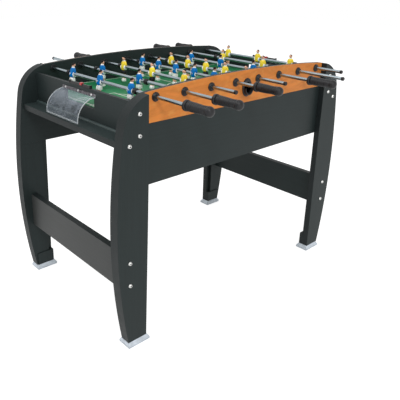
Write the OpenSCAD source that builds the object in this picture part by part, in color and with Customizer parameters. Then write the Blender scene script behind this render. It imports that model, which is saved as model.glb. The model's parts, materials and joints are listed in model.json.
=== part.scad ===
// Foosball table: eight player rods in a cabinet with arched sides on four bowed board legs.
// +X runs along the table, +Y across it, +Z up. The origin is on the floor under its centre.

/* [Cabinet] */
// Distance between neighbouring player rods
rod_pitch = 125; // [124.5:0.5:130]
// Width of the playing field between the side walls
field_width = 620; // [610:5:650]
// Height of the rods' centre lines above the floor
rod_height = 872; // [850:1:890]
// Rise of the side walls' top edge above the rods at mid-length
crown_rise = 38.5; // [36:0.5:44]
// Depth of a side wall from its arched top to its lower edge
wall_depth = 330; // [300:5:380]
// Thickness of the side walls
wall_t = 15; // [12:1:18]
// Depth of the playing field below the rods
field_drop = 74; // [68:1:76]
// Width of each goal mouth
goal_width = 190; // [170:5:200]
// Height of the end ball trays below the playing field
tray_drop = 52; // [50:1:60]

/* [Legs] */
// Thickness of the leg boards
leg_t = 25; // [20:1:30]
// How far the legs' inner edges lean outwards from the side wall down to the foot
leg_taper = 8; // [0:1:16]
// How far the legs bow out past the end rods
leg_bow = 172; // [160:0.5:180]
// Height of the foot pads
pad_h = 20; // [14:1:24]
// Height of the end stretchers' lower edge
stretcher_z = 221; // [160:1:260]
// Depth of the end stretchers
stretcher_h = 137; // [120:1:160]

/* [Rods] */
// Diameter of the player rods
rod_d = 12.7; // [12:0.1:14]
// Length of the hand grips
grip_len = 112; // [100:1:125]
// Diameter of the hand grips
grip_d = 31; // [26:1:32]
// Bare rod left between a grip and its bearing when the rod is pushed right in
grip_margin = 22; // [10:1:30]
// Extra length of a two-player rod at its capped end
long_stock = 20; // [0:1:30]
// Slide of a two-player rod to each side of its centre
travel_two = 138; // [120:1:140]

/* [Players] */
// Radius that the players' feet swing through
foot_r = 62; // [58:0.5:62]
// Height of the players' heads above the rod
head_top = 41; // [38:1:44]
// Width of a player across the arms
player_w = 32; // [28:1:34]
// Spacing of the players on a three-player rod
space_three = 182; // [176:1:184]
// Spacing of the players on a five-player rod
space_five = 107; // [100:1:108]
// Spacing of the players on a two-player rod
space_two = 233; // [220:1:240]

/* [Hidden] */
$fn = 48;
rods = [1 : 8];
per_rod = ["tube", "players", "grip", "end_cap", "bumpers"];

ends = [-1, 1];
near = -1;
far = 1;

// Players on each rod, the side its grip is on, which team it belongs to, and how it rests
player_count = [3, 2, 3, 5, 5, 3, 2, 3];
grip_side = [near, near, far, near, far, near, far, far];
blue_rods = [1, 2, 4, 6];
rest_turn = [8, 0, 0, 4, 0, -5, 0, 0];

// Planes across the width
wall_in = field_width / 2;
wall_out = wall_in + wall_t;
facing_t = 1;
face_out = wall_out + facing_t;
leg_out = wall_out + leg_t;

// Planes along the length
end_rod = 3.5 * rod_pitch;
panel_t = 13;
foot_gap = 2.5;
leg_set = 45.5;
tray_lap = 32;
panel_in = end_rod + foot_r + foot_gap;
panel_out = panel_in + panel_t;
leg_in = end_rod + leg_set;

// Levels
wall_top = rod_height + crown_rise;
wall_low = wall_top - wall_depth;
field_z = rod_height - field_drop;
field_t = 12;
tray_z = field_z - tray_drop;
tray_t = 22;
panel_top = rod_height - 10;
goal_low = field_z - 2;
goal_top = panel_top - 24;
facing_drop = 82;
facing_low = rod_height - facing_drop;

// Outline of the sides: an arched top, a rounded corner and a long bow down to the foot
arch_r = 5950;
bow_r = 2175;
bow_z = 435;
corner_r = 125;
bow_x = end_rod + leg_bow;
arch_centre = [0, wall_top - arch_r];
bow_centre = [bow_x - bow_r, bow_z];

// How far out the bow reaches at height z
function bow_at(z) = bow_centre.x + sqrt(bow_r * bow_r - (z - bow_z) * (z - bow_z));

// The ball trays end just inside the bow
tray_inset = 9;
tray_out = bow_at(tray_z) - tray_inset;
tray_in = panel_in - tray_lap;

// The point right of the line from a to b that is ra from a and rb from b
function right_crossing(a, ra, b, rb) =
    let (d = norm(b - a), u = (b - a) / d, along = (ra * ra - rb * rb + d * d) / (2 * d))
    a + along * u + sqrt(ra * ra - along * along) * [u.y, -u.x];
function angle_to(from, to) = atan2(to.y - from.y, to.x - from.x);
function arc(c, r, a0, a1, n) =
    [for (i = [0 : n]) let (a = a0 + (a1 - a0) * i / n) c + r * [cos(a), sin(a)]];

corner_centre = right_crossing(arch_centre, arch_r - corner_r, bow_centre, bow_r - corner_r);
bow_top_angle = angle_to(bow_centre, corner_centre);
arch_end_angle = angle_to(arch_centre, corner_centre);
bow_foot_angle = asin((pad_h - bow_z) / bow_r);
half_outline = concat(
    arc(bow_centre, bow_r, bow_foot_angle, bow_top_angle, 18),
    arc(corner_centre, corner_r, bow_top_angle, arch_end_angle, 12),
    [for (p = arc(arch_centre, arch_r, arch_end_angle, 90, 12)) if (p.x < corner_centre.x) p]);
outline = concat(
    half_outline,
    [for (i = [len(half_outline) - 1 : -1 : 0]) if (half_outline[i].x > 0.01)
        [-half_outline[i].x, half_outline[i].y]]);

// Rods and what rides on them
rod_r = rod_d / 2;
running_gap = 0.05;
bearing_in = 4;
bearing_out = 8;
bearing_r = 11;
bearing_flange_r = 15;
bearing_rim_r = 15.5;
nose_y = face_out + bearing_out;
stop_y = wall_in - bearing_in;
bumper_len = 16;
bumper_r = 10.5;
cap_len = 9;
cap_r = 7.3;
end_gap = 1.5;
stop_gap = 0.5;
travel_three = stop_y - (space_three + player_w / 2 + end_gap + bumper_len) - stop_gap;
travel_five = stop_y - (2 * space_five + player_w / 2 + end_gap + bumper_len) - stop_gap;
travel_long = min(travel_two, stop_y - space_two / 2 - player_w / 2 - bumper_len - 2 * end_gap);

function count(k) = player_count[k - 1];
function side(k) = grip_side[k - 1];
function is_blue(k) = len(search(k, blue_rods)) > 0;
function rod_x(k) = (k - 4.5) * rod_pitch;
function spacing(k) = count(k) == 2 ? space_two : count(k) == 3 ? space_three : space_five;
function travel(k) = count(k) == 2 ? travel_long : count(k) == 3 ? travel_three : travel_five;
function grip_end(k) = nose_y + travel(k) + grip_margin + grip_len;
function bare_end(k) = nose_y + travel(k) + end_gap + cap_len + (count(k) == 2 ? long_stock : 0);

// Where each rod stands at rest, as a share of its travel; rods 1 and 7 reach out equally
rest_share = [-0.2, 0.225, -0.09, -0.08, -0.9, -0.2, 0, -0.18];
rest_y = [for (k = rods) k == 7 ? grip_end(1) - rest_share[0] * travel(1) - grip_end(7)
                                : rest_share[k - 1] * travel(k)];

// Bolts as [x, z] on each leg: three into the side wall, two into the stretcher
bolt_r = 4;
bolt_clear = 0.2;
bolt_head_r = 7.5;
bolt_head_h = 4;
bolt_inset = 35.5;
bolt_outset = 75.5;
bolt_drop_high = 38;
bolt_drop_mid = 108;
bolt_drop_low = 134;
wall_bolts = [[leg_in + bolt_inset, rod_height - bolt_drop_high],
              [leg_in + bolt_inset, rod_height - bolt_drop_mid],
              [leg_in + bolt_outset, rod_height - bolt_drop_low]];
wall_bolt_depth = 10;
stretcher_set = 77;
stretcher_x = leg_in + stretcher_set;
stretcher_t = 25;
stretcher_bolt_edge = 26;
stretcher_bolts = [for (z = [stretcher_bolt_edge, stretcher_h - stretcher_bolt_edge])
    [stretcher_x, stretcher_z + z]];
stretcher_bolt_depth = 55;

// Ball entry cup, on the near side at mid-length
entry_z = rod_height - 26;
entry_bore_r = 17;
entry_barrel_r = 20.5;
entry_rim_r = 25;

// Clear hoods over the goals
hood_t = 3;
hood_reach = 74;
hood_half_w = 104;
hood_flange_h = 10;
hood_top = panel_top - 12;
hood_spring_z = hood_top - hood_flange_h;
hood_low = tray_z + 13;
hood_screws = [-0.8, 0, 0.8] * hood_half_w;
screw_r = 2;
screw_clear = 0.1;
screw_z = hood_top - 5;

// Score counters on the end panels
rail_len = 136;
slider_len = 12;
slider_w = 11;
slider_rest = -10;

// ---- Helpers ----

// Stands an [x, z] outline up and gives it thickness from y0 to y1
module slab_y(y0, y1) {
    translate([0, y1, 0]) rotate([90, 0, 0]) linear_extrude(y1 - y0) children();
}

// Stands a [y, z] outline up and gives it thickness from x0 to x1
module slab_x(x0, x1) {
    translate([x0, 0, 0]) rotate([90, 0, 90]) linear_extrude(x1 - x0) children();
}

// A box given by its two corners
module block(low, high) {
    translate(low) cube(high - low);
}

// Turns a part drawn along +Z so that it points out of the side wall at rod k, or at x
module out_of_wall(x, z, s) {
    translate([x, 0, z]) rotate([-90 * s, 0, 0]) children();
}

// Carries a part drawn along +Z, towards the grip, to its place on rod k
module on_rod(k) {
    translate([rod_x(k), rest_y[k - 1], rod_height]) rotate([-90 * side(k), 0, 0]) children();
}

module full_side(y0, y1) {
    slab_y(y0, y1) polygon(outline);
}

module bolt_holes(points, depth, s) {
    for (sx = ends, p = points)
        out_of_wall(sx * p.x, p.y, s)
            translate([0, 0, depth[0]]) cylinder(r = bolt_r + bolt_clear, h = depth[1] - depth[0]);
}

// ---- Cabinet ----

module side_wall(s) {
    difference() {
        intersection() {
            full_side(s > 0 ? wall_in : -wall_out, s > 0 ? wall_out : -wall_in);
            block([-2 * end_rod, -leg_out, wall_low], [2 * end_rod, leg_out, wall_top + 1]);
        }
        for (k = rods)
            out_of_wall(rod_x(k), rod_height, s)
                translate([0, 0, wall_in - 1]) cylinder(r = bearing_r, h = wall_t + 2);
        if (s == near)
            out_of_wall(0, entry_z, s)
                translate([0, 0, wall_in - 1]) cylinder(r = entry_barrel_r, h = wall_t + 2);
        bolt_holes(wall_bolts, [wall_out - wall_bolt_depth - 1, wall_out + 1], s);
    }
}

module side_walls() {
    color([0.2, 0.22, 0.22]) for (s = ends) side_wall(s);
}

module side_facing(s) {
    difference() {
        intersection() {
            full_side(s > 0 ? wall_out : -face_out, s > 0 ? face_out : -wall_out);
            block([0.5 - leg_in, -leg_out, facing_low], [leg_in - 0.5, leg_out, wall_top + 1]);
        }
        for (k = rods)
            out_of_wall(rod_x(k), rod_height, s)
                translate([0, 0, wall_out - 1]) cylinder(r = bearing_r, h = facing_t + 2);
        if (s == near)
            out_of_wall(0, entry_z, s)
                translate([0, 0, wall_out - 1]) cylinder(r = entry_barrel_r, h = facing_t + 2);
    }
}

module side_facings() {
    color([0.84, 0.5, 0.25]) for (s = ends) side_facing(s);
}

module goal_panels() {
    color([0.22, 0.23, 0.24]) for (s = ends) mirror([s < 0 ? 1 : 0, 0, 0]) difference() {
        block([panel_in, -wall_in, tray_z], [panel_out, wall_in, panel_top]);
        block([panel_in - 1, -goal_width / 2, goal_low], [panel_out + 1, goal_width / 2, goal_top]);
        for (y = hood_screws)
            translate([panel_out - 8, y, screw_z]) rotate([0, 90, 0]) cylinder(r = screw_r, h = 10);
    }
}

module ball_trays() {
    color([0.25, 0.26, 0.26]) for (s = ends) mirror([s < 0 ? 1 : 0, 0, 0])
        block([tray_in, -wall_in, tray_z - tray_t], [tray_out, wall_in, tray_z]);
}

module playfield() {
    color([0.2, 0.6, 0.35])
        block([-panel_in, -wall_in, field_z - field_t], [panel_in, wall_in, field_z]);
}

module field_battens() {
    batten = 20;
    joint_gap = 0.5;
    reach = tray_in - 10;
    cross = wall_in - batten - joint_gap;
    top = field_z - field_t;
    color([0.7, 0.55, 0.38]) {
        for (s = ends)
            block([-reach, s > 0 ? wall_in - batten : -wall_in, top - batten],
                  [reach, s > 0 ? wall_in : batten - wall_in, top]);
        for (x = [-2, 0, 2] * rod_pitch)
            block([x - batten / 2, -cross, top - batten], [x + batten / 2, cross, top]);
    }
}

// ---- Legs ----

module leg(sx, s) {
    color([0.2, 0.22, 0.22]) difference() {
        intersection() {
            full_side(s > 0 ? wall_out : -leg_out, s > 0 ? leg_out : -wall_out);
            mirror([sx < 0 ? 1 : 0, 0, 0]) slab_y(-leg_out, leg_out) polygon([
                [leg_in, wall_top + 1], [leg_in, wall_low], [leg_in + leg_taper, pad_h],
                [2 * end_rod, pad_h], [2 * end_rod, wall_top + 1]]);
        }
        bolt_holes(concat(wall_bolts, stretcher_bolts), [wall_out - 1, leg_out + 1], s);
    }
}

module leg_near_left() leg(-1, near);
module leg_near_right() leg(1, near);
module leg_far_left() leg(-1, far);
module leg_far_right() leg(1, far);

block_h = 54;
block_w = 74;
block_t = 19;
liner_set = 26;

// The inner layer of a leg: a liner in the side wall's plane from the wall down, and a foot block
module leg_liner(s) {
    difference() {
        union() {
            intersection() {
                full_side(s > 0 ? wall_in : -wall_out, s > 0 ? wall_out : -wall_in);
                block([leg_in + liner_set, -wall_out, pad_h], [2 * end_rod, wall_out, wall_low]);
            }
            mirror([0, s < 0 ? 1 : 0, 0])
                block([leg_in + leg_taper, wall_out - block_t, pad_h],
                      [leg_in + leg_taper + block_w, wall_out, pad_h + block_h]);
        }
        bolt_holes(stretcher_bolts, [wall_in - 1, wall_out + 1], s);
    }
}

module leg_liners() {
    color([0.24, 0.25, 0.25]) for (sx = ends, s = ends) mirror([sx < 0 ? 1 : 0, 0, 0]) leg_liner(s);
}

pad_margin = 3;
pad_bevel = 8;
pad_rim = 9;
pad_lap = 8;
pad_lip = 7;

// Pad seen from one side: a rim of full width with a bevel above it
function pad_section(low, high) = [[low, 0], [high, 0], [high, pad_rim], [high - pad_bevel, pad_h],
                                   [low + pad_bevel, pad_h], [low, pad_rim]];

module foot_pads() {
    x = [leg_in - pad_margin, bow_at(pad_h) + pad_margin];
    y = [wall_out - block_t - pad_lap, leg_out + pad_lip];
    color([0.8, 0.83, 0.85]) for (sx = ends, s = ends) mirror([sx < 0 ? 1 : 0, 0, 0])
        mirror([0, s < 0 ? 1 : 0, 0]) intersection() {
            slab_y(y[0], y[1]) polygon(pad_section(x[0], x[1]));
            slab_x(x[0], x[1]) polygon(pad_section(y[0], y[1]));
        }
}

module stretchers() {
    color([0.3, 0.31, 0.3]) difference() {
        for (sx = ends)
            block([sx * stretcher_x - stretcher_t / 2, -wall_in, stretcher_z],
                  [sx * stretcher_x + stretcher_t / 2, wall_in, stretcher_z + stretcher_h]);
        for (s = ends)
            bolt_holes(stretcher_bolts, [wall_out - stretcher_bolt_depth - 1, wall_out + 1], s);
    }
}

module bolt(x, z, s, start) {
    out_of_wall(x, z, s) {
        translate([0, 0, start]) cylinder(r = bolt_r, h = leg_out - start);
        translate([0, 0, leg_out]) cylinder(r1 = bolt_head_r, r2 = 5, h = bolt_head_h);
    }
}

module bolts_and_screws() {
    color([0.8, 0.8, 0.8]) {
        for (sx = ends, s = ends) {
            for (p = wall_bolts) bolt(sx * p.x, p.y, s, wall_out - wall_bolt_depth);
            for (p = stretcher_bolts) bolt(sx * p.x, p.y, s, wall_out - stretcher_bolt_depth);
        }
        for (s = ends, y = hood_screws)
            translate([s * (panel_out - 8), y, screw_z]) rotate([0, 90 * s, 0]) {
                cylinder(r = screw_r, h = 8 + hood_t);
                translate([0, 0, 8 + hood_t]) cylinder(r1 = 4.5, r2 = 3, h = 2);
            }
    }
}

// ---- Bearings, hoods, ball entry and score counters ----

module bearing() {
    rotate_extrude() polygon([
        [rod_r + running_gap, stop_y], [bearing_flange_r - 1, stop_y],
        [bearing_flange_r, stop_y + 1], [bearing_flange_r, wall_in], [bearing_r, wall_in],
        [bearing_r, face_out], [bearing_rim_r, face_out], [bearing_rim_r, face_out + 2.5],
        [bearing_rim_r - 1.5, face_out + 4], [bearing_r + 2, face_out + 4],
        [bearing_r + 0.5, nose_y], [rod_r + running_gap, nose_y]]);
}

module rod_bearings() {
    color([0.08, 0.08, 0.09]) for (s = ends, k = rods)
        out_of_wall(rod_x(k), rod_height, s) bearing();
}

// Quarter of an ellipse from straight up to straight out, shrunk by inset
function hood_curve(inset, start) = [for (i = [start : 14]) let (a = 90 - 90 * i / 14)
    [panel_out + (hood_reach - inset) * cos(a),
     hood_low + 4 + (hood_spring_z - hood_low - 4 - inset) * sin(a)]];

module goal_hoods() {
    outer = concat([[panel_out, hood_top], [panel_out + hood_t, hood_top],
                    [panel_out + hood_t, hood_spring_z]],
                   hood_curve(0, 1), [[panel_out + hood_reach, hood_low]]);
    inner = concat([[panel_out + hood_reach - hood_t, hood_low]],
                   [for (i = [14 : -1 : 0]) hood_curve(hood_t, 0)[i]]);
    color([0.8, 0.85, 0.9, 0.35]) for (s = ends) mirror([s < 0 ? 1 : 0, 0, 0]) difference() {
        slab_y(-hood_half_w, hood_half_w) polygon(concat(outer, inner));
        for (y = hood_screws)
            translate([panel_out - 1, y, screw_z]) rotate([0, 90, 0])
                cylinder(r = screw_r + screw_clear, h = hood_t + 2);
    }
}

module ball_entry_cup() {
    scoop = 12;
    color([0.08, 0.08, 0.09]) out_of_wall(0, entry_z, near) {
        rotate_extrude() polygon([
            [entry_bore_r, wall_in], [entry_barrel_r, wall_in], [entry_barrel_r, face_out],
            [entry_rim_r, face_out], [entry_rim_r, face_out + 3], [entry_rim_r - 2, face_out + 5],
            [entry_bore_r + 2, face_out + 5], [entry_bore_r, face_out + 2]]);
        intersection() {
            translate([0, 0, face_out + 4]) rotate_extrude() polygon([
                [entry_bore_r + 2, 0], [entry_rim_r - 2, 0], [entry_rim_r - 3, scoop],
                [entry_rim_r - 5, scoop]]);
            translate([-entry_rim_r, -entry_rim_r, face_out])
                cube([2 * entry_rim_r, entry_rim_r, 40]);
        }
    }
}

rail_base_h = 3;
rail_h = 9;
rail_web = 5;

module score_rails() {
    x = (panel_in + panel_out) / 2;
    color([0.1, 0.1, 0.1]) for (s = ends) translate([s * x, 0, panel_top]) {
        block([-slider_w / 2, -rail_len / 2, 0], [slider_w / 2, rail_len / 2, rail_base_h]);
        block([-rail_web / 2, -rail_len / 2, rail_base_h - 1], [rail_web / 2, rail_len / 2, rail_h]);
        for (t = ends)
            block([-slider_w / 2, t > 0 ? rail_len / 2 - 4 : -rail_len / 2, 0],
                  [slider_w / 2, t > 0 ? rail_len / 2 : 4 - rail_len / 2, rail_h + 2]);
    }
}

module score_slider(s) {
    x = (panel_in + panel_out) / 2;
    gap = 0.3;
    color([0.8, 0.15, 0.12]) translate([s * x, slider_rest, panel_top]) difference() {
        block([-slider_w / 2, -slider_len / 2, rail_base_h + gap],
              [slider_w / 2, slider_len / 2, rail_h + 3]);
        block([-rail_web / 2 - gap, -slider_len, 0], [rail_web / 2 + gap, slider_len, rail_h + gap]);
    }
}

module score_slider_left() score_slider(-1);
module score_slider_right() score_slider(1);

// ---- Rods ----

grip_end_wall = 12;
grip_blind = grip_len - grip_end_wall;

module rod_tube(k) {
    low = 3 - bare_end(k);
    high = grip_end(k) - grip_end_wall;
    color([0.75, 0.76, 0.78]) on_rod(k) difference() {
        translate([0, 0, low]) cylinder(r = rod_r, h = high - low);
        translate([0, 0, low - 1]) cylinder(r = rod_r - 1.5, h = high - low + 2);
    }
}

module rod_end_cap(k) {
    color([0.07, 0.07, 0.08]) on_rod(k) translate([0, 0, -bare_end(k)]) rotate_extrude() polygon([
        [0, 0], [cap_r - 1.5, 0], [cap_r, 1.5], [cap_r, cap_len], [rod_r, cap_len], [rod_r, 3], [0, 3]]);
}

// Half section of a grip: a collar, a full body that thins a little further out, and a rounded end
grip_collar = 10;
grip_dome = 12;
function grip_section() = let (r = grip_d / 2, body = grip_len - grip_collar - grip_dome - 5) concat(
    [[rod_r, 0], [r + 1, 0], [r + 2, 1], [r + 2, grip_collar - 1], [r + 1, grip_collar],
     [r - 1.5, grip_collar + 3]],
    [for (i = [0 : 12]) let (t = i / 12) [r - 0.7 + 0.7 * cos(360 * t * t), grip_collar + 5 + body * t]],
    [for (a = [15 : 15 : 90]) [r * cos(a), grip_len - grip_dome + grip_dome * sin(a)]],
    [[0, grip_blind], [rod_r, grip_blind]]);

module rod_grip(k) {
    color([0.07, 0.07, 0.08]) on_rod(k) translate([0, 0, grip_end(k) - grip_len])
        rotate_extrude() polygon(grip_section());
}

module rod_bumpers(k) {
    color([0.1, 0.1, 0.11]) on_rod(k) for (s = ends) mirror([0, 0, s < 0 ? 1 : 0])
        translate([0, 0, stop_y - travel(k) - stop_gap - bumper_len]) rotate_extrude() polygon([
            [rod_r + running_gap, 0], [bumper_r - 1, 0], [bumper_r, 1], [bumper_r, bumper_len - 3],
            [bumper_r - 3, bumper_len], [rod_r + running_gap, bumper_len]]);
}

// One player facing +X, drawn about the rod: side and front outlines crossed, with a round head
head_r = 8.3;
shoulder = head_top - 18;
waist = -13;
hip = -30;
toe = 10;
sole = -sqrt(foot_r * foot_r - toe * toe);
ankle = sole + 13;

module player() {
    arm = player_w / 2;
    difference() {
        union() {
            intersection() {
                slab_y(-arm, arm) polygon([
                    [-7.5, sole], [toe, sole], [toe, ankle - 2], [5.5, ankle + 2],
                    [7, hip - 3], [10.5, hip], [11, waist], [12, 0], [10.5, 14], [8.5, shoulder],
                    [3.5, shoulder + 3], [-3.5, shoulder + 3], [-8, shoulder], [-10.5, 14],
                    [-11.5, 0], [-11, waist], [-10, hip], [-6.5, hip - 3], [-5.5, ankle + 2],
                    [-8, ankle - 2]]);
                slab_x(-12, 12) polygon([
                    [-9.5, sole], [9.5, sole], [9.5, ankle], [8.5, ankle + 2], [9, hip - 3],
                    [11.5, hip], [11, waist - 2], [arm, waist + 2], [arm, shoulder - 5],
                    [arm - 3, shoulder], [5, shoulder + 3], [-5, shoulder + 3],
                    [3 - arm, shoulder], [-arm, shoulder - 5], [-arm, waist + 2], [-11, waist - 2],
                    [-11.5, hip], [-9, hip - 3], [-8.5, ankle + 2], [-9.5, ankle]]);
            }
            translate([0, 0, shoulder]) cylinder(r = 4, h = 8);
            translate([0.8, 0, head_top - head_r]) sphere(r = head_r);
        }
        rotate([90, 0, 0]) cylinder(r = rod_r, h = 2 * player_w, center = true);
    }
}

module rod_players(k) {
    n = count(k);
    team = is_blue(k) ? [0.1, 0.42, 0.75] : [0.95, 0.78, 0.15];
    color(team) for (i = [0 : n - 1])
        translate([rod_x(k), rest_y[k - 1] + (i - (n - 1) / 2) * spacing(k), rod_height])
            rotate([0, rest_turn[k - 1], 0]) mirror([is_blue(k) ? 0 : 1, 0, 0]) player();
}

side_walls();
side_facings();
goal_panels();
ball_trays();
playfield();
field_battens();
leg_near_left();
leg_near_right();
leg_far_left();
leg_far_right();
leg_liners();
foot_pads();
stretchers();
rod_bearings();
goal_hoods();
ball_entry_cup();
bolts_and_screws();
score_rails();
score_slider_left();
score_slider_right();
for (k = rods) rod_tube(k);
for (k = rods) rod_players(k);
for (k = rods) rod_grip(k);
for (k = rods) rod_end_cap(k);
for (k = rods) rod_bumpers(k);
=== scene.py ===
"""Dresses a foosball table's solids: laminated boards, prints, plated rods, players and clear goal hoods."""

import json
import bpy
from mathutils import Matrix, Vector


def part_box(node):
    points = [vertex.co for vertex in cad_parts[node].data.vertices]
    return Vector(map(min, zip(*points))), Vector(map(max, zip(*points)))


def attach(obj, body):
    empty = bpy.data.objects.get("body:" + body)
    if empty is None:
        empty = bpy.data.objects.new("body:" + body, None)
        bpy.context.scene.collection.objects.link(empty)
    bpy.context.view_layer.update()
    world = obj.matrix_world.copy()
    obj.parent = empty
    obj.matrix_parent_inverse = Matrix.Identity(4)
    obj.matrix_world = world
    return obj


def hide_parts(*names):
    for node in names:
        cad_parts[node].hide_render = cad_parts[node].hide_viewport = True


bl_info = {
    "name": "Foosball Table",
    "version": (1, 0, 0),
    "blender": (4, 5, 0),
    "location": "3D View > Sidebar > Foosball",
    "description": "Dresses a foosball table's solids with boards, rods, players and goal hoods",
    "category": "Object",
}

from math import cos, hypot, pi, radians, sin

import bmesh
import bpy
from bpy.props import FloatProperty, FloatVectorProperty, PointerProperty
from mathutils import Matrix, Vector

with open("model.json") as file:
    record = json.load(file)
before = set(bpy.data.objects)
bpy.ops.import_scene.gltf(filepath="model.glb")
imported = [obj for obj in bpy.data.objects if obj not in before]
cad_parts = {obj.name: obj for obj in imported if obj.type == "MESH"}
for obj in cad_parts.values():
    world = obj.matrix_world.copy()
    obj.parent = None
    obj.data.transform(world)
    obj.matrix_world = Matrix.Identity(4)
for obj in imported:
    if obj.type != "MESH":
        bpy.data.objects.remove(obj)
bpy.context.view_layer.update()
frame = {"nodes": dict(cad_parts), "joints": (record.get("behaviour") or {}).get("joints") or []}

MM = 0.001
RODS = range(1, 9)
BLUE_RODS = (1, 2, 4, 6)
# How many players each rod has, from rod 1 to rod 8, and how far they are turned at rest, in degrees
PLAYER_COUNT = (3, 2, 3, 5, 5, 3, 2, 3)
REST_TURN = (8, 0, 0, 4, 0, -5, 0, 0)
LEGS = ("leg_near_left", "leg_near_right", "leg_far_left", "leg_far_right")
JOINTS = {joint["name"]: joint for joint in frame["joints"]}

# The bolts that hold a leg to its wall: how far out from the leg's inner edge and below the rods each one is
WALL_BOLTS = ((35.5 * MM, 38 * MM), (35.5 * MM, 108 * MM), (75.5 * MM, 134 * MM))
# The bolts into a stretcher: how far in from its outer face, and from its top and bottom edges
STRETCHER_BOLT_IN = 12.5 * MM
STRETCHER_BOLT_EDGE = 26 * MM
# The height of the flat flange along a hood's top
HOOD_FLANGE = 10 * MM


def rod_axis(k):
    """A point on rod k's centre line, at the middle of the table's width."""
    return Vector(JOINTS[f"rod_{k}_spin"]["pos_m"])


def grip_side(k):
    """-1 where rod k's grip is on the near side, 1 where it is on the far side."""
    low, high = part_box(f"rod_{k}_grip")
    return 1 if low.y + high.y > 0 else -1


# ---- Settings ----


def tint(name, description, default):
    """A colour to choose."""
    return FloatVectorProperty(name=name, description=description, default=default, subtype="COLOR", size=3,
                               min=0, max=1)


def length(name, description, default):
    """A length to choose, in metres."""
    return FloatProperty(name=name, description=description, default=default, unit="LENGTH", min=0,
                         precision=4)


def angle(name, description, degrees):
    """An angle to choose, given in degrees."""
    return FloatProperty(name=name, description=description, default=radians(degrees), subtype="ANGLE")


class BoardSettings(bpy.types.PropertyGroup):
    edge_round: length("Edge round", "Radius of the softened board edges", 1.2 * MM)
    black: tint("Black laminate", "Colour of the cabinet and leg boards", (0.0165, 0.0245, 0.0245))
    edge_band: tint("Edge band", "Colour of the boards' banded edges", (0.012, 0.0165, 0.017))
    grey: tint("Grey laminate", "Colour of the end stretchers' outer faces", (0.048, 0.051, 0.05))
    seam: length("Seam bead", "Radius of the bead where a tray meets its panel", 7 * MM)
    pad: tint("Foot pads", "Colour of the moulded foot pads", (0.66, 0.72, 0.79))


class PrintSettings(bpy.types.PropertyGroup):
    orange: tint("Facing", "Colour of the printed side facings", (0.74, 0.245, 0.046))
    facing_edge: tint("Facing edge", "Colour of the facings' raw edges", (0.8, 0.5, 0.3))
    green: tint("Field", "Colour of the playing field", (0.016, 0.2, 0.074))
    marking: tint("Markings", "Colour of the field markings", (0.72, 0.76, 0.68))
    line_width: length("Line width", "Width of the field markings", 5 * MM)
    circle_radius: length("Centre circle", "Radius of the field's centre circle", 75 * MM)


class RodSettings(bpy.types.PropertyGroup):
    steel: tint("Rod steel", "Colour of the plated rods", (0.34, 0.4, 0.43))
    plastic: tint("Black plastic", "Colour of grips, bearings, caps and ball entry", (0.009, 0.009, 0.0105))
    rib_depth: length("Rib depth", "Depth of the grooves round a grip", 0.7 * MM)
    rib_pitch: length("Rib pitch", "Distance between the grooves round a grip", 7 * MM)


class PlayerSettings(bpy.types.PropertyGroup):
    width: length("Width", "Width of a player across the arms", 32 * MM)
    blue: tint("Blue shirts", "Shirt colour of the team that plays to the right", (0.0, 0.165, 0.5))
    yellow: tint("Yellow shirts", "Shirt colour of the team that plays to the left", (1.0, 0.72, 0.05))
    white: tint("White kit", "Colour of white shorts, sleeves and shoes", (0.92, 0.94, 0.9))
    black: tint("Black kit", "Colour of black shorts", (0.014, 0.014, 0.016))
    skin: tint("Skin", "Colour of faces and legs", (0.82, 0.46, 0.32))
    hair: tint("Hair", "Colour of the players' hair", (0.012, 0.007, 0.006))


class HoodSettings(bpy.types.PropertyGroup):
    sheet: tint("Sheet", "Colour of the clear goal hoods", (0.4, 0.46, 0.54))
    haze: FloatProperty(name="Haze", description="How milky the hoods are", default=0.13, min=0, max=1)
    bead: length("Bead", "Thickness of the raised bead round a hood", 1.5 * MM)
    red: tint("Counter", "Colour of the score sliders", (0.55, 0.018, 0.02))


class StageSettings(bpy.types.PropertyGroup):
    azimuth: angle("Azimuth", "Direction the camera looks in, from +Y towards +X", 41.26)
    elevation: angle("Elevation", "Angle the camera looks down at", 18.94)
    roll: angle("Roll", "Turn of the camera about its view", 0.885)
    eye: FloatVectorProperty(name="Eye", description="Where the camera stands", subtype="XYZ", unit="LENGTH",
                             default=(-1.4527, -1.5311, 1.2375))
    lens: FloatProperty(name="Lens", description="Focal length on a 36 mm sensor", default=46.25, min=1)
    shift: FloatVectorProperty(name="Shift", description="Camera shift that frames the table", size=2,
                               default=(0.088, -0.1255))
    lamp_power: FloatProperty(name="Lamp power", description="Power of the main soft lamp", default=34,
                              subtype="POWER", min=0)
    ambient: FloatProperty(name="Ambient", description="Brightness of the light from all round",
                           default=0.66, min=0)
    glow: FloatProperty(name="Floor glow", description="Brightness of the floor to the camera",
                        default=0.8, min=0)


# ---- Finishes ----


class Socket:
    """A shader socket that takes part in sums, so that a pattern reads as one expression."""

    def __init__(self, nodes, link):
        self.nodes, self.link = nodes, link

    def math(self, operation, *values):
        return self.nodes.add("ShaderNodeMath", {"operation": operation}, dict(enumerate(values)))

    def __add__(self, other):
        return self.math("ADD", self, other)

    def __sub__(self, other):
        return self.math("SUBTRACT", self, other)

    def __rsub__(self, other):
        return self.math("SUBTRACT", other, self)

    def __mul__(self, other):
        return self.math("MULTIPLY", self, other)

    def __abs__(self):
        return self.math("ABSOLUTE", self)

    __radd__ = __add__
    __rmul__ = __mul__

    def at_least(self, other):
        return self.math("MAXIMUM", self, other)

    def between(self, low, high):
        """0 up to low, 1 from high, and smooth in between."""
        return self.nodes.add("ShaderNodeMapRange", {"interpolation_type": "SMOOTHSTEP"},
                              {"Value": self, "From Min": low, "From Max": high})


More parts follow.
